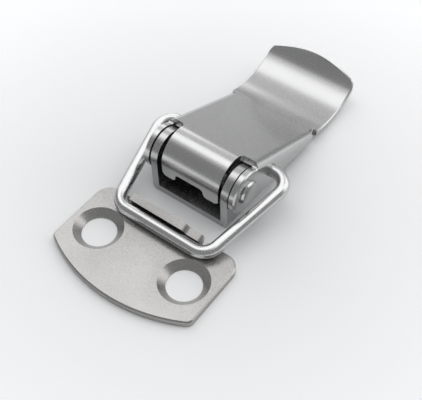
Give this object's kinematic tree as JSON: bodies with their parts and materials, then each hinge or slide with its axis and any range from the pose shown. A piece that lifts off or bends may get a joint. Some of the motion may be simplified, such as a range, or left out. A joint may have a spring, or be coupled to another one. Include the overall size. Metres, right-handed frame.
{
  "type": "toggle latch",
  "caption": "Over-centre toggle latch with folded sheet lever, wire bail, screw-down bracket and separate countersunk keeper plate with leaning hook.",
  "frame": {"origin": "on the bracket's underside, straight below the middle of the pivot pin", "axes": "+X along the pivot pin, +Y along the latch from the keeper to the lever's tip, +Z away from the surface that the latch is screwed to"},
  "size_m": [0.032, 0.069, 0.0127],
  "materials": {
    "keeper_plate": "bead-blasted stainless sheet",
    "base_bracket": "satin stainless sheet",
    "pivot_pin": "bright turned stainless",
    "lever": "satin stainless sheet",
    "bail": "polished stainless wire"
  },
  "bodies": {
    "mount": {"base_bracket": "base_bracket", "pivot_pin": "pivot_pin", "keeper_plate": "keeper_plate"},
    "lever": {"lever": "lever"},
    "bail": {"bail": "bail"}
  },
  "joints": [
    {"name": "lever_pivot", "type": "hinge", "parent": "mount", "child": "lever", "pos_m": [0, 0, 0.0078], "axis": [1, 0, 0], "range_deg": [0, 120]},
    {"name": "bail_pivot", "type": "hinge", "parent": "lever", "child": "bail", "pos_m": [0, 0.00775, 0.00665], "axis": [1, 0, 0], "range_deg": [-181, 0]}
  ],
  "couplings": [
    {"joint": "bail_pivot", "follows": "lever_pivot", "ratio": -1.5}
  ]
}
